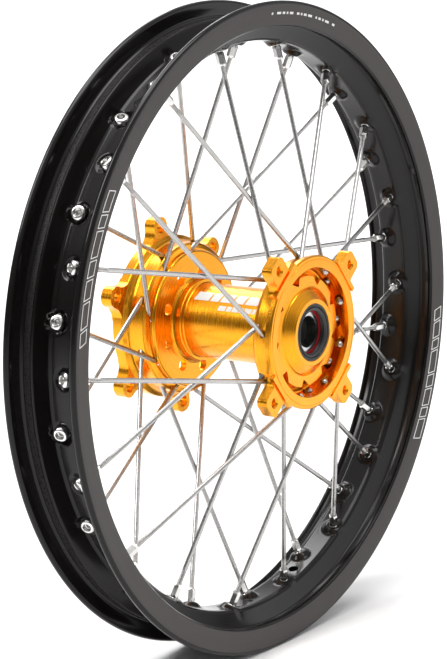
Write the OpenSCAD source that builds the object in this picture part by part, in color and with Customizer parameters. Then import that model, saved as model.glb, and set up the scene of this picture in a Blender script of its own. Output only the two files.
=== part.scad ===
// Spoked rear wheel of an off-road motorcycle: rim, 36 spokes and nipples, machined hub,
// two ball bearings with their seals, the spacer tube between them and a retaining ring.
// The origin is the centre of the wheel. The axle lies along Y, the brake disc side is -Y
// and the sprocket side is +Y.

/* [Rim] */
// Radius of the rim over its flanges
rim_r = 256; // [250:0.5:262]
// Radius that the tyre bead sits on
bead_seat_r = 242; // [240:0.5:244]
// Clear width between the two flanges
rim_inner_w = 54.6; // [52:0.2:56]
// Width over the outside of the flanges
rim_outer_w = 66.8; // [65:0.2:68]
// Radius of the spoke bed on the hub side
bed_r = 224.5; // [223:0.5:225.5]
// Diameter of the valve hole
valve_hole_d = 8.5; // [8:0.1:9]
// Diameter of the rim lock hole
lock_hole_d = 10; // [9:0.5:11]

/* [Spokes] */
// Diameter of a spoke
spoke_d = 3.9; // [3.5:0.1:3.9]
// Diameter of a spoke's head
spoke_head_d = 7.2; // [6:0.1:7.4]
// Width across the flats of a nipple
nipple_flats = 6.3; // [5.8:0.1:6.6]
// Diameter of a nipple's head
nipple_head_d = 11.6; // [10:0.1:12]
// Angle along the rim from a pair of hub holes to each of its nipples
lacing_angle = 30; // [30:1:30]
// Half of the angle between the two hub holes of a pair
pair_half_angle = 2; // [1.5:0.1:2.5]

/* [Hub] */
// Radius of the barrel at its round end
barrel_r = 30; // [29:0.1:31]
// Width of a brake disc lug
disc_lug_w = 19; // [18:0.5:20]
// Pitch circle diameter of the brake disc holes
disc_pcd = 142; // [140:0.5:144]
// Pitch circle diameter of the sprocket holes
sprocket_pcd = 150; // [149:0.5:151]
// Diameter of the tapping hole in a brake disc lug
disc_hole_d = 6; // [5:0.1:6.6]
// Diameter of the sprocket bolt holes
sprocket_hole_d = 8.4; // [8.1:0.1:8.8]
// Lightening holes in the sprocket side flange
lightening_holes = 9; // [6:1:12]

/* [Bearings] */
// Bore of the bearings, which is the axle's diameter
axle_d = 25; // [25:1:25]
// Outer diameter of the bearings
bearing_d = 42; // [42:1:42]
// Width of a bearing
bearing_w = 9; // [9:1:9]
// Balls in a bearing
ball_count = 12; // [10:1:13]
// Diameter of a ball
ball_d = 4.6; // [4.4:0.1:4.8]

/* [Hidden] */
SIDES = [-1, 1]; // brake disc side, sprocket side
SIDE_NAMES = ["disc_side", "sprocket_side"];
SPOKES_PER_SIDE = 18;
PAIRS = SPOKES_PER_SIDE / 2;

function side_name(side) = SIDE_NAMES[(side + 1) / 2];
function two_digits(i) = str(i < 10 ? "0" : "", i);
function spoke_node(side, i) = str("spoke_", side_name(side), "_", two_digits(i + 1));

BEARING_PIECES = ["outer_race", "inner_race", "balls", "cage", "shields"];

$fn = 64;
EPS = 0.01;
FIT = 0.02;

GOLD = "#F2A02C";
BLACK = "#151312";
STEEL = "#C9CACD";
NICKEL = "#DADBDD";
DARK_STEEL = "#8B8D90";
RUBBER = "#232327";
RED = "#B3201F";
BRASS = "#B8923F";

// Rim section, as radius and distance from the mid-plane
well_r = bed_r + 5;
half_in = rim_inner_w / 2;
half_out = rim_outer_w / 2;
lip_r = (half_out - half_in) / 2;
face_inner_r = rim_r - 19;

// Hub stations along the axle
disc_face_y = -62;
disc_lug_y = -61.5;
disc_lug_t = 9;
disc_pocket_floor_y = -45;
disc_inboard_y = -42;
disc_ring_r = 60.2;
disc_pocket_r = 50.5;
disc_phase = 41.5;
ledge_r = 61.4;
ledge_h = 1;
ledge_l = 34;
sprocket_inboard_y = 51;
sprocket_pocket_floor_y = 56.5;
sprocket_lug_y = 75.5;
sprocket_lug_t = 10;
sprocket_face_y = sprocket_lug_y + sprocket_lug_t - 0.4;
spigot_r = 62;
spigot_y = sprocket_lug_y + sprocket_lug_t + 2;
sprocket_ring_r = 66.5;
sprocket_pocket_r = 53.5;
sprocket_phase = 41.5;
bearing_in_y = [-47, 58];
seal_w = 6;
seal_r = 22.5;
seal_lip_r = 16.8;
ring_w = 1.5;
ring_groove_r = 22.3;
sprocket_boss_y = bearing_in_y[1] + bearing_w + ring_w + seal_w + 0.5;
through_r = 19.5;
boss_r = 26;

// Where the spokes pass the drum of each flange: radius, then the station of the spoke that leans
// against the angle and the station of the spoke that leans with it
drum_r = [57.5, 61.5];
lean_back_y = [-52.5, 55];
lean_on_y = [-47, 62.5];
// Where their nipples seat in the rim
seat_r = 227.5;
seat_back_y = [-3.6, 6];
seat_on_y = [-2.8, 6];
first_pair = [12, 2];
// Distance along the spoke from the drum's skin inwards to the underside of its head
head_back = [8.6, 11];
// How far the hole for the head runs on inwards from there
drill_back = [20, 12];

NIPPLE_BODY = 11;
NIPPLE_NECK = 5.8;
NIPPLE_HEAD = 5.2;
NIPPLE_NECK_R = 3.3;

valve_angle = -73;
lock_angle = 127;

function which(side) = (side + 1) / 2;
function polar(r, angle, y) = [r * cos(angle), y, r * sin(angle)];
function arc(centre, r, from, to, steps) = [
    for (i = [0:steps]) let (a = from + (to - from) * i / steps) centre + r * [cos(a), sin(a)]
];
// Spoke i of a side belongs to pair floor(i / 2); the even one leans back and the odd one on
function lean(i) = i % 2 == 0 ? -1 : 1;
function pair_angle(side, i) = first_pair[which(side)] + 360 / PAIRS * floor(i / 2);
function hub_point(side, i) =
    polar(drum_r[which(side)], pair_angle(side, i) - lean(i) * pair_half_angle,
        (lean(i) < 0 ? lean_back_y : lean_on_y)[which(side)]);
function seat_point(side, i) =
    polar(seat_r, pair_angle(side, i) + lean(i) * lacing_angle,
        (lean(i) < 0 ? seat_back_y : seat_on_y)[which(side)]);
function spoke_vector(side, i) = seat_point(side, i) - hub_point(side, i);

// Turns +Z to point along v
module aim(v) {
    rotate([0, acos(v.z / norm(v)), atan2(v.y, v.x)]) children();
}

// Along a spoke, from its hub point outwards
module from_hub(side, i) {
    translate(hub_point(side, i)) aim(spoke_vector(side, i)) children();
}

// Along a spoke, from its nipple's seat outwards
module from_seat(side, i) {
    translate(seat_point(side, i)) aim(spoke_vector(side, i)) children();
}

// A turned piece: its section is drawn as radius and distance along the axle
module turned() {
    rotate([-90, 0, 0]) rotate_extrude($fn = 180) children();
}

// Places a shape that is drawn radially along +X at an angle round the axle
module at_angle(a) {
    rotate([0, -a, 0]) children();
}

// A plate drawn in the plane of the wheel, between two stations along the axle
module plate(y0, y1) {
    translate([0, y1, 0]) rotate([90, 0, 0]) linear_extrude(y1 - y0) children();
}

// ---------------------------------------------------------------- rim

module rim_half_section() {
    polygon(concat(
        [[bed_r, -EPS], [well_r, -EPS], [well_r, 9.5], [well_r + 1.2, 11]],
        [[bead_seat_r - 1, 16.2], [bead_seat_r + 0.6, 17], [bead_seat_r, 18.4]],
        arc([bead_seat_r + 3, half_in - 3], 3, 180, 90, 4),
        arc([rim_r - lip_r, half_out - lip_r], lip_r, -90, 90, 10),
        [[face_inner_r, half_out - 2.6], [face_inner_r - 1, half_out - 3.8]],
        [[face_inner_r - 0.6, half_out - 5], [face_inner_r + 1.4, half_in - 1]],
        [[bead_seat_r - 3.4, half_in - 4], [bead_seat_r - 3.6, 19.4]],
        [[bed_r + 2.2, 12.8], [bed_r + 0.5, 11], [bed_r, 9]]
    ));
}

module rim() {
    color(BLACK) difference() {
        union() {
            turned() {
                rim_half_section();
                mirror([0, 1]) rim_half_section();
            }
            for (side = SIDES, i = [0:SPOKES_PER_SIDE - 1])
                from_seat(side, i) translate([0, 0, -5.6]) cylinder(r1 = 5.4, r2 = 8.6, h = 4.6);
        }
        for (side = SIDES, i = [0:SPOKES_PER_SIDE - 1]) from_seat(side, i) {
            cylinder(r1 = nipple_head_d / 2 + 0.6, r2 = nipple_head_d / 2 + 2.2, h = 8);
            translate([0, 0, -10]) cylinder(r = NIPPLE_NECK_R + 0.1, h = 12);
        }
        at_angle(valve_angle) rim_hole(valve_hole_d);
        at_angle(lock_angle) rim_hole(lock_hole_d);
    }
}

module rim_hole(d) {
    translate([bed_r - 5, 0, 0]) rotate([0, 90, 0]) cylinder(d = d, h = 16);
}

// ---------------------------------------------------------------- hub

// Section of the solid hub body before its bore, pockets, holes and lugs
module hub_outer_section() {
    polygon(concat(
        [[0, disc_face_y], [56.7, disc_face_y], [56.9, disc_face_y + 0.35], [57.3, disc_face_y + 0.35]],
        [[57.5, disc_face_y + 0.1], [59, disc_face_y + 0.1], [disc_ring_r, disc_face_y + 1.2]],
        [[disc_ring_r, disc_face_y + 4.6], [59.6, disc_face_y + 5.2]],
        arc([drum_r[0] + 1.5, disc_face_y + 6.7], 1.5, -90, -180, 3),
        arc([drum_r[0] - 5, disc_inboard_y - 5], 5, 0, 90, 6),
        [[barrel_r + 3, disc_inboard_y]],
        arc([barrel_r + 3, disc_inboard_y + 3], 3, -90, -180, 5),
        [[barrel_r, sprocket_inboard_y - 9.6]],
        arc([barrel_r + 1.2, sprocket_inboard_y - 9.6], 1.2, 180, 90, 3),
        arc([barrel_r + 2.2, sprocket_inboard_y - 7.4], 1, -90, 0, 3),
        arc([barrel_r + 7.2, sprocket_inboard_y - 4], 4, 180, 90, 5),
        arc([53.2, sprocket_inboard_y + 2.5], 2.5, -90, 50, 9),
        [[55.1, sprocket_inboard_y + 4.7], [57, sprocket_inboard_y + 4.9], [59.6, 57]],
        arc([drum_r[1] - 2, 59.2], 2, -50, 0, 3),
        [[drum_r[1], 67.5]],
        arc([drum_r[1] + 5, 69.5], 5, 180, 120, 6),
        arc([sprocket_ring_r - 2.4, sprocket_lug_y + 1], 2.4, -30, 0, 2),
        [[sprocket_ring_r, sprocket_face_y - 0.8], [sprocket_ring_r - 0.8, sprocket_face_y]],
        [[spigot_r + 0.4, sprocket_face_y], [spigot_r, spigot_y - 0.6]],
        [[spigot_r - 0.6, spigot_y], [0, spigot_y]]
    ));
}

// The annular pocket that the spoke heads sit in, open on the brake disc side
module disc_pocket_section() {
    polygon(concat(
        [[disc_pocket_r + 0.5, disc_face_y - 5], [disc_pocket_r + 0.5, disc_face_y]],
        [[disc_pocket_r, disc_face_y + 0.5], [disc_pocket_r, disc_pocket_floor_y - 2]],
        arc([disc_pocket_r - 2, disc_pocket_floor_y - 2], 2, 0, 90, 4),
        arc([45.2, disc_pocket_floor_y - 1.2], 1.2, 90, 180, 3),
        [[44, disc_face_y + 7.9], [43.5, disc_face_y + 7.4]],
        arc([36.4, disc_face_y + 3.9], 3.5, 90, 152, 5),
        [[boss_r + 0.3, disc_face_y + 0.3], [boss_r, disc_face_y], [boss_r, disc_face_y - 5]]
    ));
}

// The pocket of the sprocket side, open outboard
module sprocket_pocket_section() {
    polygon(concat(
        [[sprocket_pocket_r + 1, spigot_y + 1], [sprocket_pocket_r + 1, spigot_y - 0.4]],
        [[sprocket_pocket_r, spigot_y - 1.4], [sprocket_pocket_r, sprocket_pocket_floor_y + 2]],
        arc([sprocket_pocket_r - 2, sprocket_pocket_floor_y + 2], 2, 0, -90, 4),
        arc([37.5, sprocket_pocket_floor_y + 3], 3, -90, -180, 4),
        [[34.5, sprocket_boss_y - 14]],
        [[boss_r + 0.6, sprocket_boss_y - 0.4], [boss_r, sprocket_boss_y]],
        [[0, sprocket_boss_y], [0, spigot_y + 1]]
    ));
}

// The stepped bore for seals, bearings and the retaining ring
module hub_bore_section() {
    near_in = bearing_in_y[0];
    near_out = near_in - bearing_w;
    far_in = bearing_in_y[1];
    far_out = far_in + bearing_w;
    polygon([
        [0, disc_face_y - 1], [seal_r + 0.4, disc_face_y - 1], [seal_r + 0.4, disc_face_y],
        [seal_r, disc_face_y + 0.4], [seal_r, near_out], [bearing_d / 2, near_out],
        [bearing_d / 2, near_in], [through_r, near_in],
        [through_r, far_in], [bearing_d / 2, far_in], [bearing_d / 2, far_out],
        [ring_groove_r, far_out], [ring_groove_r, far_out + ring_w],
        [seal_r, far_out + ring_w], [seal_r, sprocket_boss_y - 0.4],
        [seal_r + 0.4, sprocket_boss_y], [seal_r + 0.4, sprocket_boss_y + 1], [0, sprocket_boss_y + 1]
    ]);
}

// Outline of one lug: parallel sides, rounded corners and a fillet into the ring it grows from
module lug_outline(ring_r, tip_r, width, corner_r, fillet_r) {
    half = width / 2;
    // The fillet cuts the ring at a small angle, so that the two surfaces never run out tangent
    fillet_u = sqrt(pow(ring_r - 0.4 + fillet_r, 2) - pow(half + fillet_r, 2));
    foot = (half + fillet_r) * ring_r / (ring_r + fillet_r);
    root = ring_r - 5;
    difference() {
        translate([root, -foot]) square([fillet_u - root, 2 * foot]);
        for (s = [-1, 1]) translate([fillet_u, s * (half + fillet_r)]) circle(r = fillet_r);
    }
    translate([root, -half]) square([tip_r - corner_r - root, 2 * half]);
    translate([root, -half + corner_r]) square([tip_r - root, 2 * (half - corner_r)]);
    for (s = [-1, 1]) translate([tip_r - corner_r, s * (half - corner_r)]) circle(r = corner_r);
}

module disc_lugs() {
    for (k = [0:3]) at_angle(disc_phase + 90 * k) {
        plate(disc_lug_y, disc_lug_y + disc_lug_t)
            mirror([0, 1]) lug_outline(disc_ring_r, disc_pcd / 2 + 8.6, disc_lug_w, 5, 7);
        // The straight ledge that centres the brake disc
        translate([ledge_r - 3.6, disc_face_y - ledge_h, -ledge_l / 2]) cube([3.6, 4, ledge_l]);
    }
}

module disc_lug_cuts() {
    for (k = [0:3]) at_angle(disc_phase + 90 * k) {
        // Relief at the foot of the ledge
        translate([ledge_r, disc_lug_y - EPS, -ledge_l / 2]) cube([1.3, 0.9, ledge_l]);
        translate([disc_pcd / 2, disc_lug_y - 1, 0]) rotate([-90, 0, 0]) {
            cylinder(d = disc_hole_d, h = disc_lug_t + 2);
            translate([0, 0, 1 - EPS]) cylinder(d1 = disc_hole_d + 2.6, d2 = disc_hole_d, h = 1.3);
        }
    }
}

module sprocket_lugs() {
    for (k = [0:5]) at_angle(sprocket_phase + 60 * k)
        plate(sprocket_lug_y, sprocket_lug_y + sprocket_lug_t)
            lug_outline(sprocket_ring_r, sprocket_pcd / 2 + 8.6, 17, 7.5, 12);
}

module sprocket_lug_cuts() {
    for (k = [0:5]) at_angle(sprocket_phase + 60 * k)
        translate([sprocket_pcd / 2, sprocket_lug_y - 1, 0]) rotate([-90, 0, 0]) {
            cylinder(d = sprocket_hole_d, h = sprocket_lug_t + 2);
            translate([0, 0, 1 - EPS]) cylinder(d1 = sprocket_hole_d + 1, d2 = sprocket_hole_d, h = 0.5);
        }
}

// Flats milled at a slight slope, so that each starts at a point at the sprocket end and widens
module barrel_flats() {
    flats = 9;
    length = 77.2;
    slope = 1.5;
    for (k = [0:flats - 1]) at_angle(k * 360 / flats + 12)
        translate([barrel_r + 0.15, 36, -15]) rotate([0, 0, slope])
            translate([0, -length, 0]) cube([6, length, 30]);
}

module spoke_holes() {
    for (side = SIDES, i = [0:SPOKES_PER_SIDE - 1]) from_hub(side, i) {
        translate([0, 0, -20]) cylinder(r = spoke_d / 2 + 0.2, h = 30);
        translate([0, 0, -2.4]) cylinder(r = spoke_d / 2 + 0.75, h = 34);
        // The drill for the head comes in from the open face, past the web's edge
        translate([0, 0, -head_back[which(side)] - drill_back[which(side)]])
            cylinder(r = spoke_head_d / 2 + 0.35, h = drill_back[which(side)]);
    }
}

module hub_shell() {
    color(GOLD) difference() {
        union() {
            turned() hub_outer_section();
            disc_lugs();
            sprocket_lugs();
        }
        turned() hub_bore_section();
        turned() disc_pocket_section();
        turned() sprocket_pocket_section();
        barrel_flats();
        disc_lug_cuts();
        sprocket_lug_cuts();
        spoke_holes();
        for (k = [0:lightening_holes - 1]) at_angle(k * 360 / lightening_holes + 2)
            translate([40, sprocket_inboard_y - 5, 0]) rotate([-90, 0, 0]) cylinder(d = 9.5, h = 12);
    }
}

// ---------------------------------------------------------------- spokes and nipples

module spoke(side, i) {
    length = norm(spoke_vector(side, i));
    back = head_back[which(side)];
    color(STEEL) from_hub(side, i) {
        translate([0, 0, -back]) cylinder(d = spoke_d, h = back + length + 2);
        translate([0, 0, -back - 1.2]) cylinder(d = spoke_head_d, h = 1.2);
        translate([0, 0, -back - 1.2]) spoke_dome();
    }
}

module spoke_dome() {
    dome_h = 2.4;
    ball_r = (pow(spoke_head_d / 2, 2) + pow(dome_h, 2)) / (2 * dome_h);
    intersection() {
        translate([0, 0, ball_r - dome_h]) sphere(r = ball_r);
        translate([0, 0, -dome_h]) cylinder(d = spoke_head_d, h = dome_h);
    }
}

module nipple() {
    bore_r = spoke_d / 2 + 0.05;
    difference() {
        union() {
            translate([0, 0, -NIPPLE_NECK - NIPPLE_BODY])
                cylinder(d = nipple_flats / cos(30), h = NIPPLE_BODY, $fn = 6);
            translate([0, 0, -NIPPLE_NECK]) cylinder(r = NIPPLE_NECK_R, h = NIPPLE_NECK);
            cylinder(d = nipple_head_d, h = NIPPLE_HEAD - 1.4);
            translate([0, 0, NIPPLE_HEAD - 1.4])
                cylinder(d1 = nipple_head_d, d2 = nipple_head_d - 2.8, h = 1.4);
        }
        translate([0, 0, -NIPPLE_NECK - NIPPLE_BODY - 1]) cylinder(r = bore_r, h = 30);
        translate([0, 0, 1.6]) cylinder(r = 2.9, h = 6);
    }
}

module nipples(side) {
    color(NICKEL) for (i = [0:SPOKES_PER_SIDE - 1]) from_seat(side, i) nipple();
}

// ---------------------------------------------------------------- bearings

race_shoulder = [15.6, 18];
shield_seat_r = 18.6;
shield_t = 0.8;
pitch_r = (axle_d + bearing_d) / 4;
groove_r = ball_d / 2 + 0.03;

function bearing_middle(side) = bearing_in_y[which(side)] + side * bearing_w / 2;

module race_groove() {
    translate([pitch_r, 0]) circle(r = groove_r);
}

module outer_race_section() {
    half = bearing_w / 2;
    step = half - shield_t - 0.1;
    difference() {
        polygon([
            [bearing_d / 2 - FIT, -half], [bearing_d / 2 - FIT, half], [shield_seat_r, half],
            [shield_seat_r, step], [race_shoulder[1], step],
            [race_shoulder[1], -step], [shield_seat_r, -step], [shield_seat_r, -half]
        ]);
        race_groove();
    }
}

module inner_race_section() {
    difference() {
        translate([axle_d / 2, -bearing_w / 2]) square([race_shoulder[0] - axle_d / 2, bearing_w]);
        race_groove();
    }
}

module bearing(side, piece) {
    translate([0, bearing_middle(side), 0]) {
        if (piece == "outer_race") color(DARK_STEEL) turned() outer_race_section();
        if (piece == "inner_race") color(STEEL) turned() inner_race_section();
        if (piece == "balls") color(STEEL) balls();
        if (piece == "cage") color(BRASS) cage();
        if (piece == "shields") color(RED) shields();
    }
}

module balls() {
    for (k = [0:ball_count - 1]) at_angle(k * 360 / ball_count)
        translate([pitch_r, 0, 0]) sphere(d = ball_d);
}

module cage() {
    cage_w = 6.4;
    difference() {
        turned() translate([race_shoulder[0] + 0.2, -cage_w / 2])
            square([race_shoulder[1] - race_shoulder[0] - 0.4, cage_w]);
        for (k = [0:ball_count - 1]) at_angle(k * 360 / ball_count)
            translate([pitch_r - 4, 0, 0]) rotate([0, 90, 0]) cylinder(d = ball_d + 0.2, h = 8);
    }
}

module shields() {
    for (s = [-1, 1]) translate([0, s * (bearing_w / 2 - shield_t / 2 - 0.1), 0]) turned()
        translate([race_shoulder[0] + 0.15, -shield_t / 2])
            square([shield_seat_r - FIT - race_shoulder[0] - 0.15, shield_t]);
}

// Outboard of each bearing; the lip points outwards
module oil_seal(side) {
    inboard_y = side < 0 ? bearing_in_y[0] - bearing_w : bearing_in_y[1] + bearing_w + ring_w;
    outer = seal_r - FIT;
    width = seal_w - 0.4;
    color(RUBBER) translate([0, inboard_y, 0]) mirror([0, side < 0 ? 1 : 0, 0]) turned() polygon([
        [outer, 0], [outer, width - 0.6], [outer - 0.5, width], [20.6, width],
        [20.3, width - 0.7], [19.7, width - 0.7], [19.4, width], [18.2, width],
        [seal_lip_r + 0.4, width - 1], [seal_lip_r, width - 1.4], [seal_lip_r, width - 2.6],
        [seal_lip_r + 1.1, width - 3.4], [seal_lip_r + 0.5, 1.4], [seal_lip_r + 1.1, 0.6],
        [20.4, 0.6], [20.4, 0]
    ]);
}

module spacer_tube() {
    color(DARK_STEEL) turned() translate([axle_d / 2, bearing_in_y[0]])
        square([2.7, bearing_in_y[1] - bearing_in_y[0]]);
}

// Internal circlip with two eyes, beside the gap at the top
module retaining_ring() {
    y0 = bearing_in_y[1] + bearing_w;
    color(DARK_STEEL) plate(y0, y0 + ring_w - 0.1) difference() {
        union() {
            difference() {
                circle(r = ring_groove_r - 0.1);
                circle(r = 19.6);
            }
            for (s = [-1, 1]) rotate(-90 + s * 15) translate([19.4, 0]) circle(r = 1.9);
        }
        polygon([[0, 0], [-6, -30], [6, -30]]);
        for (s = [-1, 1]) rotate(-90 + s * 15) translate([19.2, 0]) circle(r = 0.7);
    }
}

// ---------------------------------------------------------------- assembly

rim();
hub_shell();
spacer_tube();
retaining_ring();
for (side = SIDES, i = [0:SPOKES_PER_SIDE - 1])
    spoke(side, i);
for (side = SIDES)
    nipples(side);
for (side = SIDES)
    oil_seal(side);
for (side = SIDES, piece = BEARING_PIECES)
    bearing(side, piece);
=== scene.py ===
"""Spoked motorcycle wheel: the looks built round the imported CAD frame. Metres, hub axle along Y, +Z up."""

import math

import bmesh
import bpy
import numpy as np
from mathutils import Matrix, Vector
from mathutils.bvhtree import BVHTree


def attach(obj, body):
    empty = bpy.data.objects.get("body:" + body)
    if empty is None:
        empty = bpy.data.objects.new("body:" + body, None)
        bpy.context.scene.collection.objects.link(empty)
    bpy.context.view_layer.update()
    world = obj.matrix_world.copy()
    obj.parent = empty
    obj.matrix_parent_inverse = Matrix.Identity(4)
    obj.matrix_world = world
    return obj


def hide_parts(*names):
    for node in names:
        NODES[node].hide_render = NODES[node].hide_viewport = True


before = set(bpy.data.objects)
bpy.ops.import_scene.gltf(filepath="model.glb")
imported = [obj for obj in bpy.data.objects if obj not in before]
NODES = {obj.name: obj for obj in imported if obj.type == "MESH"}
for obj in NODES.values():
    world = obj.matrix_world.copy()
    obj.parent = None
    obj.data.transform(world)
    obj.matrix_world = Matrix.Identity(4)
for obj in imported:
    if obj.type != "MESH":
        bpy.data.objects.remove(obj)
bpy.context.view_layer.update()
MM = 0.001

# ---------------------------------------------------------------- measures, as in the CAD, in millimetres

RIM_R = 256.0
BED_R = 224.5
WELL_R = 229.5
BEAD_SEAT_R = 242.0
HALF_IN = 27.3
HALF_OUT = 33.4
FACE_INNER_R = RIM_R - 19
LIP_R = (HALF_OUT - HALF_IN) / 2
SIDE_NAMES = ("disc_side", "sprocket_side")
SPOKES_PER_SIDE = 18
DRUM_R = (57.5, 61.5)
LEAN_BACK_Y = (-52.5, 55.0)
LEAN_ON_Y = (-47.0, 62.5)
SEAT_R = 227.5
SEAT_BACK_Y = (-3.6, 6.0)
SEAT_ON_Y = (-2.8, 6.0)
FIRST_PAIR = (12, 2)
HEAD_BACK = (8.6, 11.0)
PAIR_HALF_ANGLE = 2
LACING_ANGLE = 30
SPOKE_R = 1.95
SPOKE_HEAD_R = 3.6
NIPPLE_FLATS = 6.3
NIPPLE_HEAD_R = 5.8
NIPPLE_BODY = 11.0
NIPPLE_NECK = 5.8
NIPPLE_NECK_R = 3.3
NIPPLE_HEAD = 5.2
VALVE_ANGLE, VALVE_R = -73, 4.25
LOCK_ANGLE, LOCK_R = 127, 5.0
BARREL_R = 30.0


def polar(r, degrees, y):
    """A point at that radius and angle round the axle, in millimetres."""
    a = math.radians(degrees)
    return Vector((r * math.cos(a), y, r * math.sin(a)))


def lean(i):
    return -1 if i % 2 == 0 else 1


def spoke_line(which, i):
    """Hub point and nipple seat of one spoke, in millimetres."""
    pair = FIRST_PAIR[which] + 40 * (i // 2)
    s = lean(i)
    hub = polar(DRUM_R[which], pair - s * PAIR_HALF_ANGLE, (LEAN_BACK_Y if s < 0 else LEAN_ON_Y)[which])
    seat = polar(SEAT_R, pair + s * LACING_ANGLE, (SEAT_BACK_Y if s < 0 else SEAT_ON_Y)[which])
    return hub, seat


LINES = [[spoke_line(w, i) for i in range(SPOKES_PER_SIDE)] for w in (0, 1)]


def aim(origin, towards):
    """A frame at origin whose +Z points towards another point."""
    z = (towards - origin).normalized()
    x = Vector((0, 1, 0)).cross(z).normalized()
    y = z.cross(x)
    m = Matrix((x, y, z)).transposed().to_4x4()
    m.translation = origin
    return m


# ---------------------------------------------------------------- mesh helpers


def new_object(name, verts_mm, faces, material_index=None, materials=(), sharp=35.0, smooth=True):
    """A mesh object from millimetre points, smooth shaded with its sharp edges kept."""
    mesh = bpy.data.meshes.new(name)
    mesh.from_pydata([tuple(c * MM for c in v) for v in verts_mm], [], faces)
    for m in materials:
        mesh.materials.append(m)
    if material_index is not None:
        mesh.polygons.foreach_set("material_index", np.array(material_index, np.int32))
    mesh.update()
    finish_mesh(mesh, sharp, smooth)
    obj = bpy.data.objects.new(name, mesh)
    bpy.context.scene.collection.objects.link(obj)
    return obj


def finish_mesh(mesh, sharp=35.0, smooth=True):
    """Turns every face outwards, then shades smooth up to an angle."""
    bm = bmesh.new()
    bm.from_mesh(mesh)
    bmesh.ops.recalc_face_normals(bm, faces=bm.faces)
    bm.to_mesh(mesh)
    bm.free()
    if smooth:
        mesh.shade_smooth()
        mesh.set_sharp_from_angle(angle=math.radians(sharp))


def lathe(profile, steps, closed, radius_at=None):
    """Turns (radius, height) points about Z. closed joins the last point to the first, as for a ring.
    radius_at(radius, height, angle) may change a radius, as for a hexagon. Points on the axis become
    one vertex."""
    verts, faces, rows = [], [], []
    for r, h in profile:
        if r < 1e-6:
            rows.append([len(verts)])
            verts.append((0.0, 0.0, h))
            continue
        row = []
        for k in range(steps):
            a = 2 * math.pi * k / steps
            rr = radius_at(r, h, a) if radius_at else r
            row.append(len(verts))
            verts.append((rr * math.cos(a), rr * math.sin(a), h))
        rows.append(row)
    pairs = list(zip(rows, rows[1:])) + ([(rows[-1], rows[0])] if closed else [])
    for a, b in pairs:
        for k in range(steps):
            k1 = (k + 1) % steps
            if len(a) == 1 and len(b) == 1:
                continue
            if len(a) == 1:
                faces.append((a[0], b[k1], b[k]))
            elif len(b) == 1:
                faces.append((a[k], a[k1], b[0]))
            else:
                faces.append((a[k], a[k1], b[k1], b[k]))
    return verts, faces


def placed(verts, m):
    return [tuple(m @ Vector(v)) for v in verts]


# Lathe axis Z turned on to the axle: +Z becomes +Y
TO_AXLE = Matrix(((1, 0, 0, 0), (0, 0, 1, 0), (0, -1, 0, 0), (0, 0, 0, 1)))


def rounded(points, radii, steps=5):
    """A closed outline with its corners rounded. radii has one figure a corner; 0 keeps it sharp."""
    out = []
    n = len(points)
    for i in range(n):
        p, a, b = (np.array(points[j % n], float) for j in (i, i - 1, i + 1))
        r = radii[i]
        u, v = a - p, b - p
        lu, lv = np.linalg.norm(u), np.linalg.norm(v)
        u, v = u / lu, v / lv
        cosine = float(np.clip(u @ v, -1, 1))
        half = math.acos(cosine) / 2
        if r <= 0 or half > math.radians(89.3):
            out.append(tuple(p))
            continue
        t = min(r / math.tan(half), 0.49 * lu, 0.49 * lv)
        r = t * math.tan(half)
        centre = p + (u + v) / np.linalg.norm(u + v) * (r / math.sin(half))
        s, e = p + u * t - centre, p + v * t - centre
        a0 = math.atan2(s[1], s[0])
        sweep = math.atan2(s[0] * e[1] - s[1] * e[0], s @ e)
        count = max(2, min(steps, int(abs(sweep) / math.radians(12)) + 2))
        for k in range(count + 1):
            ang = a0 + sweep * k / count
            out.append((centre[0] + r * math.cos(ang), centre[1] + r * math.sin(ang)))
    return out


# ---------------------------------------------------------------- materials


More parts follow.
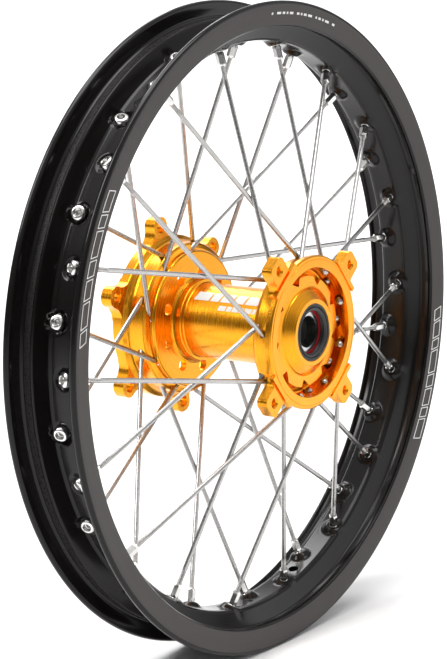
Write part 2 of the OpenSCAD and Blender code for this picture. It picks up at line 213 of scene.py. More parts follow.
class Graph:
    """A short way to write a node material."""

    def __init__(self, name, **sockets):
        self.mat = bpy.data.materials.new(name)
        self.mat.use_nodes = True
        self.tree = self.mat.node_tree
        self.tree.nodes.clear()
        self.shader = self.node("ShaderNodeBsdfPrincipled")
        out = self.node("ShaderNodeOutputMaterial")
        self.tree.links.new(self.shader.outputs[0], out.inputs["Surface"])
        for k, v in sockets.items():
            self.shader.inputs[k.replace("_", " ")].default_value = v

    def node(self, kind, **props):
        n = self.tree.nodes.new(kind)
        for k, v in props.items():
            setattr(n, k, v)
        return n

    def put(self, socket, value):
        if hasattr(value, "links") and hasattr(value, "node"):
            self.tree.links.new(value, socket)
        else:
            socket.default_value = value

    def math(self, op, a, b=0.0, c=0.0, clamp=False):
        n = self.node("ShaderNodeMath", operation=op, use_clamp=clamp)
        for s, v in zip(n.inputs, (a, b, c)):
            self.put(s, v)
        return n.outputs[0]

    def position(self):
        """Object coordinates in millimetres, split into x, y and z."""
        coords = self.node("ShaderNodeTexCoord").outputs["Object"]
        scale = self.node("ShaderNodeVectorMath", operation="SCALE")
        self.put(scale.inputs[0], coords)
        scale.inputs["Scale"].default_value = 1000.0
        split = self.node("ShaderNodeSeparateXYZ")
        self.put(split.inputs[0], scale.outputs[0])
        return scale.outputs[0], split.outputs[0], split.outputs[1], split.outputs[2]

    def combine(self, x, y, z):
        n = self.node("ShaderNodeCombineXYZ")
        for s, v in zip(n.inputs, (x, y, z)):
            self.put(s, v)
        return n.outputs[0]

    def noise(self, vector, scale, detail=2.0, roughness=0.5, distortion=0.0):
        n = self.node("ShaderNodeTexNoise")
        self.put(n.inputs["Vector"], vector)
        n.inputs["Scale"].default_value = scale
        n.inputs["Detail"].default_value = detail
        n.inputs["Roughness"].default_value = roughness
        n.inputs["Distortion"].default_value = distortion
        return n.outputs["Fac"]

    def spread(self, value, low, high, to_low, to_high):
        n = self.node("ShaderNodeMapRange")
        n.clamp = True
        for s, v in zip(n.inputs, (value, low, high, to_low, to_high)):
            self.put(s, v)
        return n.outputs[0]

    def mix(self, factor, a, b):
        n = self.node("ShaderNodeMix", data_type="RGBA")
        self.put(n.inputs[0], factor)
        self.put(n.inputs[6], a)
        self.put(n.inputs[7], b)
        return n.outputs[2]

    def bump(self, height, strength, distance_mm, normal=None):
        n = self.node("ShaderNodeBump")
        n.inputs["Strength"].default_value = strength
        n.inputs["Distance"].default_value = distance_mm * MM
        self.put(n.inputs["Height"], height)
        if normal is not None:
            self.put(n.inputs["Normal"], normal)
        return n.outputs[0]

    def wire(self, socket, value):
        self.put(self.shader.inputs[socket], value)

    def radius_and_angle(self, x, z):
        r = self.math("SQRT", self.math("ADD", self.math("MULTIPLY", x, x), self.math("MULTIPLY", z, z)))
        return r, self.math("ARCTAN2", z, x)


def turned_marks(g, across, around):
    """Fine grooves that a lathe leaves round the axle: quick change across, slow change round.
    Returns the noise vector, then the station, radius and angle it is made from."""
    _, x, y, z = g.position()
    r, angle = g.radius_and_angle(x, z)
    vector = g.combine(g.math("MULTIPLY", r, across), g.math("MULTIPLY", y, across),
                       g.math("MULTIPLY", angle, around))
    return vector, y, r, angle


def rgba(r, g, b):
    return (r, g, b, 1.0)


def black_gloss():
    g = Graph("black_anodised_gloss", Base_Color=rgba(0.006, 0.0053, 0.005), Metallic=0.0, Roughness=0.14,
              Specular_IOR_Level=0.25)
    fine = g.noise(turned_marks(g, 1.6, 3.0)[0], 1.0, 3.0, 0.6)
    cloud = g.noise(g.position()[0], 0.02, 3.0, 0.55)
    g.wire("Base Color", g.mix(cloud, rgba(0.0045, 0.004, 0.0037), rgba(0.008, 0.0068, 0.0063)))
    g.wire("Roughness", g.spread(g.math("ADD", fine, g.math("MULTIPLY", cloud, 0.6)), 0.5, 1.1, 0.10, 0.2))
    g.wire("Normal", g.bump(fine, 0.06, 0.03))
    return g.mat


def black_face():
    g = Graph("black_anodised_satin", Base_Color=rgba(0.03, 0.026, 0.024), Metallic=0.0, Roughness=0.42,
              Specular_IOR_Level=0.4)
    rings = g.noise(turned_marks(g, 5.0, 4.0)[0], 1.0, 2.0, 0.6)
    cloud = g.noise(g.position()[0], 0.03, 3.0, 0.55)
    g.wire("Base Color", g.mix(g.math("MULTIPLY", g.math("ADD", rings, cloud), 0.5),
                               rgba(0.024, 0.0195, 0.0175), rgba(0.038, 0.0315, 0.029)))
    g.wire("Roughness", g.spread(rings, 0.3, 0.7, 0.34, 0.5))
    g.wire("Normal", g.bump(rings, 0.22, 0.03))
    return g.mat


KNURL_RIBS = 760.0


def black_knurl():
    """The bead seat: fine ribs across it, pressed round the whole rim."""
    g = Graph("black_anodised_knurl", Base_Color=rgba(0.014, 0.0125, 0.012), Metallic=0.0, Roughness=0.3,
              Coat_Weight=0.2, Coat_Roughness=0.2)
    _, x, _, z = g.position()
    _, angle = g.radius_and_angle(x, z)
    rib = g.math("SINE", g.math("MULTIPLY", angle, KNURL_RIBS))
    fine = g.noise(g.position()[0], 0.7, 3.0, 0.6)
    g.wire("Roughness", g.spread(fine, 0.3, 0.7, 0.22, 0.4))
    g.wire("Normal", g.bump(g.math("ADD", rib, g.math("MULTIPLY", fine, 0.4)), 0.5, 0.12))
    return g.mat


def gold():
    g = Graph("gold_anodised_aluminium", Base_Color=rgba(0.93, 0.36, 0.008), Metallic=1.0, Roughness=0.25,
              Coat_Weight=0.3, Coat_Roughness=0.2)
    vector, y, r, angle = turned_marks(g, 6.0, 1.2)
    rings = g.noise(vector, 1.0, 3.0, 0.62)
    coarse = g.noise(g.combine(g.math("MULTIPLY", r, 0.9), g.math("MULTIPLY", y, 0.9),
                               g.math("MULTIPLY", angle, 0.8)), 1.0, 2.0, 0.5)
    cloud = g.noise(g.position()[0], 0.05, 3.0, 0.5)
    tone = g.math("ADD", g.math("MULTIPLY", rings, 0.6), g.math("MULTIPLY", cloud, 0.4))
    g.wire("Base Color", g.mix(tone, rgba(0.86, 0.32, 0.004), rgba(0.97, 0.405, 0.012)))
    g.wire("Roughness", g.spread(g.math("ADD", rings, coarse), 0.7, 1.3, 0.22, 0.3))
    g.wire("Normal", g.bump(rings, 0.03, 0.006))
    return g.mat


def steel_spoke():
    g = Graph("stainless_spoke", Base_Color=rgba(0.68, 0.66, 0.64), Metallic=1.0, Roughness=0.2)
    pos = g.position()[0]
    drawn = g.noise(pos, 0.9, 4.0, 0.6)
    cloud = g.noise(pos, 0.03, 2.0, 0.5)
    g.wire("Base Color", g.mix(cloud, rgba(0.42, 0.41, 0.4), rgba(0.58, 0.57, 0.56)))
    g.wire("Roughness", g.spread(drawn, 0.3, 0.7, 0.22, 0.36))
    g.wire("Normal", g.bump(drawn, 0.08, 0.02))
    return g.mat


def nickel():
    g = Graph("nickel_plate", Base_Color=rgba(0.82, 0.81, 0.79), Metallic=1.0, Roughness=0.16)
    pos = g.position()[0]
    fine = g.noise(pos, 1.3, 3.0, 0.6)
    g.wire("Base Color", g.mix(g.noise(pos, 0.12, 2.0), rgba(0.72, 0.71, 0.69), rgba(0.88, 0.87, 0.855)))
    g.wire("Roughness", g.spread(fine, 0.3, 0.7, 0.1, 0.26))
    g.wire("Normal", g.bump(fine, 0.12, 0.03))
    return g.mat


def turned_steel(name, colour, low, high):
    g = Graph(name, Base_Color=rgba(*colour), Metallic=1.0, Roughness=(low + high) / 2)
    rings = g.noise(turned_marks(g, 4.0, 2.0)[0], 1.0, 3.0, 0.6)
    g.wire("Base Color", g.mix(rings, rgba(*(c * 0.8 for c in colour)),
                               rgba(*(min(1.0, c * 1.15) for c in colour))))
    g.wire("Roughness", g.spread(rings, 0.3, 0.7, low, high))
    g.wire("Normal", g.bump(rings, 0.2, 0.03))
    return g.mat


def rubber(name, dark, light, low, high):
    g = Graph(name, Base_Color=rgba(*dark), Metallic=0.0, Roughness=(low + high) / 2)
    pos = g.position()[0]
    grain = g.noise(pos, 2.2, 4.0, 0.65)
    cloud = g.noise(pos, 0.15, 2.0, 0.5)
    g.wire("Base Color", g.mix(cloud, rgba(*dark), rgba(*light)))
    g.wire("Roughness", g.spread(grain, 0.3, 0.7, low, high))
    g.wire("Normal", g.bump(grain, 0.18, 0.05))
    return g.mat


def print_white():
    g = Graph("decal_white", Base_Color=rgba(0.78, 0.77, 0.75), Metallic=0.0, Roughness=0.38)
    fine = g.noise(g.position()[0], 1.2, 3.0, 0.6)
    g.wire("Base Color", g.mix(fine, rgba(0.7, 0.69, 0.67), rgba(0.84, 0.83, 0.81)))
    g.wire("Roughness", g.spread(fine, 0.3, 0.7, 0.32, 0.46))
    return g.mat


M_BLACK = black_gloss()
M_FACE = black_face()
M_KNURL = black_knurl()
M_GOLD = gold()
M_SPOKE = steel_spoke()
M_NICKEL = nickel()
M_DARK_STEEL = turned_steel("turned_dark_steel", (0.42, 0.41, 0.4), 0.3, 0.46)
M_BEARING = turned_steel("bearing_steel", (0.58, 0.58, 0.575), 0.12, 0.24)
M_BRASS = turned_steel("cage_brass", (0.7, 0.5, 0.22), 0.22, 0.36)
M_RUBBER = rubber("seal_rubber", (0.008, 0.008, 0.009), (0.014, 0.014, 0.0155), 0.3, 0.46)
M_RED = rubber("shield_red", (0.42, 0.014, 0.016), (0.55, 0.025, 0.025), 0.3, 0.42)
M_WHITE = print_white()

# ---------------------------------------------------------------- rim

RIM_OUTLINE = [
    # radius, station along the axle, corner radius
    (WELL_R, 0.0, 0), (WELL_R, 9.5, 1.5), (230.7, 11.2, 2.0), (241.0, 16.2, 1.6), (242.6, 17.2, 1.0),
    (BEAD_SEAT_R, 18.6, 0.8), (BEAD_SEAT_R, HALF_IN, 3.0), (RIM_R, HALF_IN, 3.0), (RIM_R, HALF_OUT, 3.0),
    (FACE_INNER_R, HALF_OUT - 2.6, 0.9), (FACE_INNER_R - 1, HALF_OUT - 3.8, 0.5),
    (FACE_INNER_R - 0.6, HALF_OUT - 5.2, 0.6), (FACE_INNER_R + 1.4, HALF_IN - 1, 0.9),
    (BEAD_SEAT_R - 3.4, HALF_IN - 4, 1.5), (BEAD_SEAT_R - 3.6, 19.4, 2.4),
    (BED_R + 2.2, 12.8, 2.2), (BED_R + 0.5, 11.0, 1.2), (BED_R, 8.6, 1.5), (BED_R, 0.0, 0),
]
KNURL_Y = (19.0, 24.0)
FACE_SPAN = (FACE_INNER_R + 0.6, RIM_R - 2.6)
# A nipple's dimple: its flat's level along the spoke, the flat's radius, and where it fades out
DIMPLE_HUB = (-5.6, 5.3, 10.2)
DIMPLE_WELL = (0.0, 6.7, 9.0)
DIMPLE_REACH = 14
# Lengths of the section's pieces near the nipples and elsewhere
CELL_FINE, CELL_COARSE = 1.15, 4.5
# Round the rim: the fine step in degrees and how many each side of a nipple, then the gap between
ANGLE_STEP, ANGLE_COUNT = 0.33, 9
GAP_FROM, GAP_SPAN = 2.97, 4.06


def rim_profile():
    """The whole closed section, as radius and station, cut finely where the nipples are seated."""
    half = rounded([(r, y) for r, y, _ in RIM_OUTLINE], [c for _, _, c in RIM_OUTLINE])
    upper = [p for p in half if p[1] > 1e-6]
    section = upper + [(BED_R, 0.0)] + [(r, -y) for r, y in reversed(upper)] + [(WELL_R, 0.0)]
    out = []
    n = len(section)
    for i in range(n):
        (r0, y0), (r1, y1) = section[i], section[(i + 1) % n]
        length = math.hypot(r1 - r0, y1 - y0)
        near_seat = max(r0, r1) < 236 and max(abs(y0), abs(y1)) < 17
        pieces = max(1, round(length / (CELL_FINE if near_seat else CELL_COARSE)))
        out += [(r0 + (r1 - r0) * k / pieces, y0 + (y1 - y0) * k / pieces) for k in range(pieces)]
    return out


def rim_angles():
    """Angles round the rim, close together at each nipple and hole."""
    angles = []
    for m in range(2 * SPOKES_PER_SIDE):
        centre = 2 + 10 * m
        angles += [centre + ANGLE_STEP * k for k in range(-ANGLE_COUNT, ANGLE_COUNT + 1)]
        middle = centre + 5
        holed = any(abs((middle - a + 180) % 360 - 180) < 0.1 for a in (VALVE_ANGLE, LOCK_ANGLE))
        cells = 12 if holed else 4
        angles += [centre + GAP_FROM + GAP_SPAN * k / cells for k in range(1, cells)]
    return [math.radians(a) for a in angles]


def smooth_fall(d, inner, outer):
    t = np.clip((d - inner) / (outer - inner), 0, 1)
    return 1 - t * t * (3 - 2 * t)


def build_rim():
    profile = np.array(rim_profile())
    angles = np.array(rim_angles())
    n, m = len(profile), len(angles)
    r, y = profile[:, 0][:, None], profile[:, 1][:, None]
    pts = np.stack([r * np.cos(angles), np.broadcast_to(y, (n, m)), r * np.sin(angles)], -1)
    # Each nipple's seat is punched outwards in the hub side and sunk in the tyre side
    hub_rows = [i for i in range(n) if is_hub_side(profile, i)]
    well_rows = [i for i in range(n) if is_well(profile, i)]
    for which in (0, 1):
        for hub, seat in LINES[which]:
            axis = np.array((seat - hub).normalized())
            s = np.array(seat)
            for rows, level, inner, outer in ((hub_rows, *DIMPLE_HUB), (well_rows, *DIMPLE_WELL)):
                block = pts[rows]
                d = block - s
                along = d @ axis
                off = np.linalg.norm(d - along[..., None] * axis, axis=-1)
                w = smooth_fall(off, inner, outer) * (np.abs(along) < DIMPLE_REACH)
                block += (w * (level - along))[..., None] * axis
                pts[rows] = block
    verts = pts.reshape(-1, 3)
    faces, slots = [], []
    for i in range(n):
        j = (i + 1) % n
        slot = face_slot(profile[i], profile[j])
        for k in range(m):
            k1 = (k + 1) % m
            faces.append((i * m + k, i * m + k1, j * m + k1, j * m + k))
            slots.append(slot)
    rim = new_object("rim_black", verts, faces, slots, (M_BLACK, M_FACE, M_KNURL), sharp=40)
    cutters = []
    for which in (0, 1):
        for hub, seat in LINES[which]:
            hole_r = NIPPLE_NECK_R + 0.1
            v, f = lathe([(0, -11), (hole_r, -11), (hole_r, 3), (0, 3)], 32, False)
            cutters.append((placed(v, aim(seat, seat * 2 - hub)), f))
    for angle, radius in ((VALVE_ANGLE, VALVE_R), (LOCK_ANGLE, LOCK_R)):
        v, f = lathe([(0, -6), (radius, -6), (radius, 12), (0, 12)], 48, False)
        cutters.append((placed(v, aim(polar(BED_R, angle, 0), polar(BED_R + 10, angle, 0))), f))
    cut_holes(rim, cutters)
    return rim


def is_hub_side(profile, i):
    """Rows of the section on the hub side, between the two side walls."""
    r, y = profile[i]
    return r < BED_R + 0.3 + max(0.0, (abs(y) - 8.0)) * 1.15 and abs(y) < 19.5 and r < 236


def is_well(profile, i):
    """Rows of the section in the tyre channel."""
    r, y = profile[i]
    return not is_hub_side(profile, i) and r < 237 and abs(y) < 15


def face_slot(a, b):
    """Which finish a band of the section takes: gloss, satin side face or knurled bead seat."""
    r, y = (a[0] + b[0]) / 2, abs(a[1] + b[1]) / 2
    if y > HALF_OUT - 3.2 and FACE_SPAN[0] < r < FACE_SPAN[1] and y > HALF_IN + 2:
        return 1
    if KNURL_Y[0] < y < KNURL_Y[1] and abs(r - BEAD_SEAT_R) < 0.2:
        return 2
    return 0


def cut_holes(obj, cutters):
    """Cuts holes with one closed tool mesh, and applies the result."""
    verts, faces = [], []
    for v, f in cutters:
        base = len(verts)
        verts += v
        faces += [tuple(base + i for i in face) for face in f]
    tool = new_object("hole_tool", verts, faces)
    mod = obj.modifiers.new("holes", "BOOLEAN")
    mod.operation = "DIFFERENCE"
    mod.solver = "MANIFOLD"
    mod.object = tool
    bpy.context.view_layer.update()
    mesh = bpy.data.meshes.new_from_object(obj.evaluated_get(bpy.context.evaluated_depsgraph_get()))
    obj.modifiers.clear()
    old = obj.data
    obj.data = mesh
    obj.data.name = old.name
    bpy.data.meshes.remove(old)
    bpy.data.objects.remove(tool)
    mesh.shade_smooth()
    mesh.set_sharp_from_angle(angle=math.radians(40))


rim = build_rim()
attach(rim, "wheel")
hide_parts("rim")

# ---------------------------------------------------------------- hub, kept from the CAD


def dress(node, material):
    """Gives a CAD node one procedural material."""
    obj = NODES[node]
    if obj.material_slots:
        for s in obj.material_slots:
            s.material = material
    else:
        obj.data.materials.append(material)


dress("hub_shell", M_GOLD)
dress("spacer_tube", M_DARK_STEEL)
dress("retaining_ring", M_DARK_STEEL)
for side in SIDE_NAMES:
    dress(f"bearing_{side}_outer_race", M_BEARING)
    dress(f"bearing_{side}_inner_race", M_BEARING)
    dress(f"bearing_{side}_balls", M_BEARING)
    dress(f"bearing_{side}_cage", M_BRASS)
    dress(f"bearing_{side}_shields", M_RED)

# ---------------------------------------------------------------- spokes

THREAD_L = 12.0
THREAD_PITCH = 0.9
THREAD_DEPTH = 0.22
SPOKE_STEPS = 24
HEAD_DOME = 2.4
HEAD_RIM = 1.2


def spoke_mesh(length, back):
    """Along Z from the head at -back to the end inside the nipple."""
    ball_r = (SPOKE_HEAD_R**2 + HEAD_DOME**2) / (2 * HEAD_DOME)
    top = -back - HEAD_RIM
    rings = [(0.0, top - HEAD_DOME)]
    for k in range(1, 8):
        a = math.asin(SPOKE_HEAD_R / ball_r) * k / 7
        rings.append((ball_r * math.sin(a), top - HEAD_DOME + ball_r * (1 - math.cos(a))))
    rings += [(SPOKE_HEAD_R, -back - 0.15), (SPOKE_HEAD_R - 0.15, -back), (SPOKE_R, -back)]
    start = length - NIPPLE_NECK - NIPPLE_BODY - THREAD_L
    rings += [(SPOKE_R, -back + 1 + (start - 1 + back) * k / 12) for k in range(13)]
    thread_from = len(rings)
    count = int(THREAD_L + 2) * 6
    rings += [(SPOKE_R, start + (THREAD_L + 2) * (k + 1) / count) for k in range(count)]
    thread_to = len(rings)
    rings += [(SPOKE_R - 0.1, length + 1.6), (SPOKE_R - 0.6, length + 2), (0.0, length + 2)]
    verts, faces, rows = [], [], []
    for i, (r, h) in enumerate(rings):
        if r < 1e-6:
            rows.append([len(verts)])
            verts.append((0.0, 0.0, h))
            continue
        row = []
        for k in range(SPOKE_STEPS):
            a = 2 * math.pi * k / SPOKE_STEPS
            rr = r
            if thread_from <= i < thread_to:
                phase = (h - start) / THREAD_PITCH - k / SPOKE_STEPS
                depth = THREAD_DEPTH * min(1.0, (h - start) / 1.5)
                rr = r - depth * (0.5 - 0.5 * math.cos(2 * math.pi * phase))
            row.append(len(verts))
            verts.append((rr * math.cos(a), rr * math.sin(a), h))
        rows.append(row)
    for a, b in zip(rows, rows[1:]):
        for k in range(SPOKE_STEPS):
            k1 = (k + 1) % SPOKE_STEPS
            if len(a) == 1:
                faces.append((a[0], b[k1], b[k]))
            elif len(b) == 1:
                faces.append((a[k], a[k1], b[0]))
            else:
                faces.append((a[k], a[k1], b[k1], b[k]))
    return verts, faces


for which, side in enumerate(SIDE_NAMES):
    for i in range(SPOKES_PER_SIDE):
        hub_mm, seat_mm = LINES[which][i]
        v, f = spoke_mesh((seat_mm - hub_mm).length, HEAD_BACK[which])
        name = f"spoke_{side}_{i + 1:02d}"
        spoke = new_object(name + "_steel", placed(v, aim(hub_mm, seat_mm)), f, None, (M_SPOKE,), sharp=50)
        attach(spoke, "wheel")
        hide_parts(name)

# ---------------------------------------------------------------- nipples

HEX_STEPS = 48
NIPPLE_TURN = 37


def nipple_mesh():
    """Along Z from the seat: hexagonal body towards the hub, flanged head with its socket outwards."""
    apothem = NIPPLE_FLATS / 2
    corner = apothem / math.cos(math.pi / 6)
    bottom = -NIPPLE_NECK - NIPPLE_BODY
    bore = SPOKE_R + 0.05
    profile = [
        (bore, bottom + 1.2), (bore + 0.5, bottom), (apothem - 0.35, bottom), (corner, bottom + 1.1),
        (corner, bottom + 2.5), (corner, -NIPPLE_NECK - 3.2), (corner, -NIPPLE_NECK - 0.9),
        (apothem - 0.1, -NIPPLE_NECK), (NIPPLE_NECK_R - 0.25, -NIPPLE_NECK),
        (NIPPLE_NECK_R, -NIPPLE_NECK + 0.3), (NIPPLE_NECK_R, -0.02), (NIPPLE_HEAD_R - 0.5, 0.02),
        (NIPPLE_HEAD_R, 0.5), (NIPPLE_HEAD_R, NIPPLE_HEAD - 1.9), (NIPPLE_HEAD_R - 0.25, NIPPLE_HEAD - 1.1),
        (NIPPLE_HEAD_R - 0.95, NIPPLE_HEAD - 0.35), (NIPPLE_HEAD_R - 1.9, NIPPLE_HEAD), (3.35, NIPPLE_HEAD),
        (2.95, NIPPLE_HEAD - 0.4), (2.9, 1.7), (2.7, 1.6), (bore, 1.6), (bore, -4.0),
    ]

    def hexed(r, h, a):
        if not bottom <= h <= -NIPPLE_NECK or r < apothem - 0.5:
            return r
        local = (a + math.pi / 6) % (math.pi / 3) - math.pi / 6
        return min(r, apothem / math.cos(local))

    return lathe(profile, HEX_STEPS, True, hexed)


NIPPLE_VERTS, NIPPLE_FACES = nipple_mesh()
for which, side in enumerate(SIDE_NAMES):
    verts, faces = [], []
    for i in range(SPOKES_PER_SIDE):
        hub_mm, seat_mm = LINES[which][i]
        turn = Matrix.Rotation(math.radians(NIPPLE_TURN * i), 4, "Z")
        base = len(verts)
        verts += placed(NIPPLE_VERTS, aim(seat_mm, seat_mm * 2 - hub_mm) @ turn)
        faces += [tuple(base + k for k in face) for face in NIPPLE_FACES]
    group = new_object(f"nipples_{side}_plated", verts, faces, None, (M_NICKEL,), sharp=32)
    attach(group, "wheel")
    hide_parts(f"nipples_{side}")

# ---------------------------------------------------------------- oil seals

SEAL_IN_Y = (-56.0, 68.5)
SEAL_W = 5.6
SEAL_DOTS = 12
SEAL_DOT_RING = 21.85


def seal_mesh():
    """Outward along Z: pressed outer wall, face with two ridges, and the lip that runs on the spacer."""
    w = SEAL_W
    profile = rounded(
        [(22.48, 0), (22.48, w), (21.3, w), (21.15, w - 0.35), (20.75, w - 0.35), (20.6, w),
         (20.25, w), (20.0, w - 1.3), (19.55, w - 1.3), (19.35, w - 0.1), (18.5, w - 0.1), (17.2, w - 1.0),
         (16.8, w - 1.4), (16.8, w - 2.6), (17.9, w - 3.4), (17.3, 1.4), (17.9, 0.6), (20.4, 0.6),
         (20.4, 0)],
        [0.25, 0.35, 0.1, 0.1, 0.1, 0.1, 0.1, 0.15, 0.15, 0.3, 0.5, 0.3, 0.15, 0.15, 0.2, 0.3, 0.2, 0.1, 0.1],
        3)
    return lathe(profile, 160, True)


def dot_mesh(r, z, radius, height):
    """A low moulded dot on the seal's outer face, at radius r from its axis."""
    outline = [(0, -0.2), (radius, -0.2), (radius, height * 0.5), (radius * 0.7, height), (0, height)]
    v, f = lathe(outline, 12, False)
    return [(x + r, y, h + z) for x, y, h in v], f


for which, side in enumerate(SIDE_NAMES):
    verts, faces = seal_mesh()
    for k in range(SEAL_DOTS):
        v, f = dot_mesh(SEAL_DOT_RING, SEAL_W - 0.02, 0.26, 0.12)
        turn = Matrix.Rotation(math.radians(360 / SEAL_DOTS * k + 9), 4, "Z")
        base = len(verts)
        verts += placed(v, turn)
        faces += [tuple(base + i for i in face) for face in f]
    mirror = Matrix.Scale(-1 if which == 0 else 1, 4, (0, 1, 0))
    place = Matrix.Translation((0, SEAL_IN_Y[which], 0)) @ mirror @ TO_AXLE
    seal = new_object(f"oil_seal_{side}_moulded", placed(verts, place), faces, None, (M_RUBBER,), sharp=40)
    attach(seal, "wheel")
    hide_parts(f"oil_seal_{side}")

# ---------------------------------------------------------------- generic marks

MARK_LIFT = 0.06
MARK_SUNK = -0.03
MARK_CELL = 0.6


def face_y(r):
    """Station of the near side face of the rim at a radius."""
    return -(HALF_OUT - 2.6 + (r - FACE_INNER_R) / (RIM_R - LIP_R - FACE_INNER_R) * 2.6)


def bar_on_face(a0, a1, r0, r1, slant, border):
    """A slanted bar's outline on the near face, as closed thin strips: four sides round a bare middle."""
    strips = []
    mid = (r0 + r1) / 2
    inset = math.degrees(border / mid)
    edges = [((a0, a1), (r0, r0 + border)), ((a0, a1), (r1 - border, r1)),
             ((a0, a0 + inset), (r0 + border, r1 - border)), ((a1 - inset, a1), (r0 + border, r1 - border))]
    for (s, e), (q0, q1) in edges:
        strips.append(strip_on_face(s, e, q0, q1, slant, mid, MARK_LIFT))
    return strips


def strip_on_face(a0, a1, r0, r1, slant, mid, lift):
    """One closed thin strip between two angles and two radii, leaned by slant degrees a millimetre."""
    cells = max(1, math.ceil(abs(a1 - a0) / MARK_CELL))
    verts, faces = [], []
    for k in range(cells + 1):
        for r in (r0, r1):
            a = a0 + (a1 - a0) * k / cells + slant * (r - mid)
            for depth in (lift, MARK_SUNK):
                verts.append(tuple(polar(r, a, face_y(r) - depth)))
    for k in range(cells):
        b = 4 * k
        n = b + 4
        faces += [(b, b + 2, n + 2, n), (b + 1, n + 1, n + 3, b + 3), (b, n, n + 1, b + 1),
                  (b + 2, b + 3, n + 3, n + 2)]
    faces += [(0, 1, 3, 2), (4 * cells, 4 * cells + 2, 4 * cells + 3, 4 * cells + 1)]
    return verts, faces


def join_parts(parts):
    verts, faces = [], []
    for v, f in parts:
        base = len(verts)
        verts += v
        faces += [tuple(base + i for i in face) for face in f]
    return verts, faces


def bar_row(start, widths, gap, r0, r1, slant, border):
    parts, a = [], start
    for w in widths:
        parts += bar_on_face(a, a + w, r0, r1, slant, border)
        a += w + gap
    return parts


# Inner and outer radius, slant in degrees a millimetre, and border
ROW_SHAPE = (241.6, 250.2, 0.10, 0.75)
ROW_RIGHT = bar_row(-31.0, (4.3, 2.1, 3.6, 2.6, 4.6, 2.0, 3.3, 2.4), 0.35, *ROW_SHAPE)
ROW_LEFT = bar_row(149.0, (3.9, 2.4, 4.6, 2.8, 3.3, 4.2, 2.4), 0.38, *ROW_SHAPE)
for name, parts in (("rim_marks_right", ROW_RIGHT), ("rim_marks_left", ROW_LEFT)):
    v, f = join_parts(parts)
    marks = new_object(name, v, f, None, (M_WHITE,), sharp=30)
    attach(marks, "wheel")

# The small line at the top: plain dashes, each as wide as a figure, in degrees
DASHES = (0.8, 1.3, 0.5, 0.8, 0.5, 1.3, 0.9, 0.5, 0.8, 1.1, 0.5, 0.8, 1.3, 0.5)
parts, a = [], 72.8
for k, w in enumerate(DASHES):
    parts.append(strip_on_face(a, a + w, 245.4, 247.2, 0.0, 246.3, 0.03))
    a += w + (0.5 if k % 4 else 1.2)
v, f = join_parts(parts)
size_marks = new_object("rim_marks_small", v, f, None, (M_WHITE,), sharp=30)
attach(size_marks, "wheel")

# Two rows of slanted bars on the barrel, laid on its skin by ray casts at the hub

hub = NODES["hub_shell"]
HUB_TREE = BVHTree.FromObject(hub, bpy.context.evaluated_depsgraph_get())
TO_HUB = hub.matrix_world.inverted()
BAR_CELL = 1.0


def on_barrel(y, angle, lift):
    """The barrel's skin at a station and angle, lifted a little along the radius, in millimetres."""
    start, outward = polar(BARREL_R + 6, angle, y) * MM, polar(1, angle, 0)
    hit = HUB_TREE.ray_cast(TO_HUB @ start, TO_HUB.to_3x3() @ -outward, 0.02)[0]
    return hub.matrix_world @ hit / MM + outward * lift


def bar_on_barrel(y0, y1, a0, a1, slant):
    """One closed thin bar between two stations and two angles; slant moves its far edge along the axle."""
    nu = max(1, round(abs(y1 - y0) / BAR_CELL))
    nv = max(2, round(abs(a1 - a0) / 2.0))
    verts, faces = [], []
    for lift in (0.07, -0.05):
        for i in range(nu + 1):
            for j in range(nv + 1):
                y = y0 + (y1 - y0) * i / nu + slant * j / nv
                verts.append(tuple(on_barrel(y, a0 + (a1 - a0) * j / nv, lift)))
    row, layer = nv + 1, (nu + 1) * (nv + 1)
    for i in range(nu):
        for j in range(nv):
            a, b = i * row + j, (i + 1) * row + j
            faces += [(a, a + 1, b + 1, b), (a + layer, b + layer, b + layer + 1, a + layer + 1)]
    edge = [i * row for i in range(nu)] + [nu * row + j for j in range(nv)]
    edge += [i * row + nv for i in range(nu, 0, -1)] + [j for j in range(nv, 0, -1)]
    for a, b in zip(edge, edge[1:] + edge[:1]):
        faces.append((a, b, b + layer, a + layer))
    return verts, faces


def barrel_row(start, widths, gap, angles, slant):
    parts, y = [], start
    for w in widths:
        parts.append(bar_on_barrel(y, y - w, *angles, slant))
        y -= w + gap
    return parts


BARREL_ROWS = barrel_row(37.0, (14.0, 8.0, 11.0, 9.5, 12.0), 1.6, (138.5, 122.0), -1.8)
BARREL_ROWS += barrel_row(11.5, (7.0, 4.5, 6.0, 3.5, 6.5, 3.0), 1.0, (152.5, 144.5), -0.8)
v, f = join_parts(BARREL_ROWS)
marks = new_object("barrel_marks", v, f, None, (M_WHITE,), sharp=30)
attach(marks, "wheel")

# ---------------------------------------------------------------- floor, light and camera

FLOOR_Z = -RIM_R * MM


def studio():
    """A pale floor that curves up into a backdrop behind the wheel."""
    across, back_at, front, rise, bend = 14.0, 9.0, -14.0, 9.0, 4.0
    line = [(front, 0.0), (back_at - bend, 0.0)]
    line += [(back_at - bend + bend * math.sin(a), bend * (1 - math.cos(a)))
             for a in np.linspace(0, math.pi / 2, 17)[1:]]
    line += [(back_at, rise)]
    verts = [(x, s, FLOOR_Z + h) for s, h in line for x in (-across, across)]
    faces = [(2 * k, 2 * k + 1, 2 * k + 3, 2 * k + 2) for k in range(len(line) - 1)]
    g = Graph("pale_floor", Base_Color=rgba(0.86, 0.86, 0.86), Metallic=0.0, Roughness=0.75)
    fine = g.noise(g.node("ShaderNodeTexCoord").outputs["Object"], 6.0, 3.0, 0.5)
    g.wire("Base Color", g.mix(fine, rgba(0.85, 0.85, 0.85), rgba(0.88, 0.88, 0.88)))
    mesh = bpy.data.meshes.new("floor")
    mesh.from_pydata(verts, [], faces)
    mesh.materials.append(g.mat)
    mesh.shade_smooth()
    obj = bpy.data.objects.new("floor", mesh)
    obj.rotation_euler = (0, 0, AZIMUTH)
    bpy.context.scene.collection.objects.link(obj)


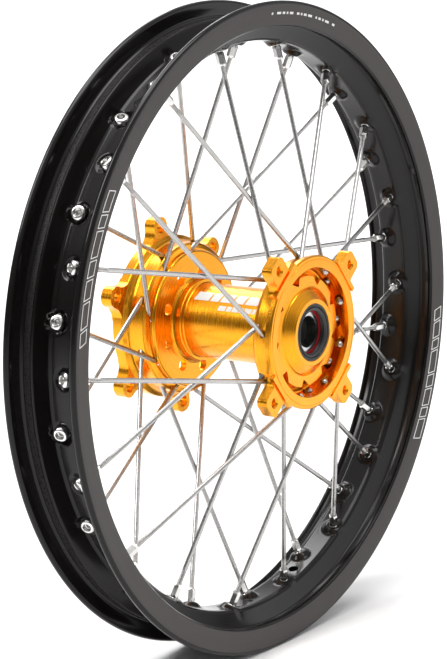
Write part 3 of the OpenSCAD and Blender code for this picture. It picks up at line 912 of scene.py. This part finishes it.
AZIMUTH = math.radians(-54.38)
ELEVATION = math.radians(6.96)
DISTANCE, TRACK, PEDESTAL = 1.6318, -0.0198, 0.0756
LENS, SENSOR, RISE = 112.4, 36.0, -0.152

studio()


def direction_from_wheel(azimuth, elevation):
    """The direction from the wheel at an azimuth and elevation in radians; azimuth 0 faces the disc side."""
    return Vector((math.sin(azimuth) * math.cos(elevation), -math.cos(azimuth) * math.cos(elevation),
                   math.sin(elevation)))


def area_light(name, azimuth, elevation, distance, size, power, target=(0, 0, 0)):
    """A soft rectangular light that faces the wheel or another point. Azimuth is counted as the
    camera's is."""
    data = bpy.data.lights.new(name, "AREA")
    data.shape = "RECTANGLE"
    data.size, data.size_y = size
    data.energy = power
    obj = bpy.data.objects.new(name, data)
    obj.location = direction_from_wheel(math.radians(azimuth), math.radians(elevation)) * distance
    obj.rotation_mode = "QUATERNION"
    obj.rotation_quaternion = (Vector(target) - obj.location).to_track_quat("-Z", "Y")
    obj.visible_camera = False
    bpy.context.scene.collection.objects.link(obj)


area_light("front", 34, 14, 2.0, (2.0, 1.1), 9)
area_light("side", -118, 42, 2.3, (0.5, 1.1), 22)
area_light("top", -60, 84, 2.2, (2.2, 1.2), 46)
area_light("behind", 150, 46, 2.4, (1.4, 0.7), 20)
# This one lights the backdrop and the floor in front of it
area_light("backdrop", 126, 40, 5.0, (6.0, 3.0), 320, target=(4.9, 3.5, 0.3))

world = bpy.data.worlds.new("studio")
bpy.context.scene.world = world
world.use_nodes = True
tree = world.node_tree
background = tree.nodes["Background"]
direction = tree.nodes.new("ShaderNodeSeparateXYZ")
tree.links.new(tree.nodes.new("ShaderNodeTexCoord").outputs["Generated"], direction.inputs[0])
height = tree.nodes.new("ShaderNodeMapRange")
height.inputs["From Min"].default_value = -1.0
tree.links.new(direction.outputs["Z"], height.inputs["Value"])
sky = tree.nodes.new("ShaderNodeValToRGB")
SKY = ((0.0, 0.30), (0.44, 0.16), (0.56, 0.16), (0.70, 0.42), (0.82, 0.9), (1.0, 1.0))
while len(sky.color_ramp.elements) < len(SKY):
    sky.color_ramp.elements.new(0.5)
for element, (at, grey) in zip(sky.color_ramp.elements, SKY):
    element.position = at
    element.color = rgba(grey, grey, grey)
tree.links.new(height.outputs[0], sky.inputs[0])
tree.links.new(sky.outputs[0], background.inputs["Color"])
background.inputs["Strength"].default_value = 0.8
# Seen directly, the surroundings are plain white; only the light they give is graded
white = tree.nodes.new("ShaderNodeBackground")
white.inputs["Color"].default_value = rgba(1.0, 1.0, 1.0)
seen = tree.nodes.new("ShaderNodeMixShader")
tree.links.new(tree.nodes.new("ShaderNodeLightPath").outputs["Is Camera Ray"], seen.inputs[0])
tree.links.new(background.outputs[0], seen.inputs[1])
tree.links.new(white.outputs[0], seen.inputs[2])
tree.links.new(seen.outputs[0], tree.nodes["World Output"].inputs["Surface"])

camera_data = bpy.data.cameras.new("camera")
camera = bpy.data.objects.new("camera", camera_data)
bpy.context.scene.collection.objects.link(camera)
back = direction_from_wheel(AZIMUTH, ELEVATION)
right = Vector((math.cos(AZIMUTH), math.sin(AZIMUTH), 0))
up = back.cross(right)
camera.matrix_world = Matrix((right, up, back)).transposed().to_4x4()
camera.location = back * DISTANCE + right * TRACK + up * PEDESTAL
camera_data.sensor_width = SENSOR
camera_data.lens = LENS
camera_data.shift_y = RISE
camera_data.clip_start, camera_data.clip_end = 0.05, 60
bpy.context.scene.camera = camera

bpy.context.scene.view_settings.view_transform = "Standard"
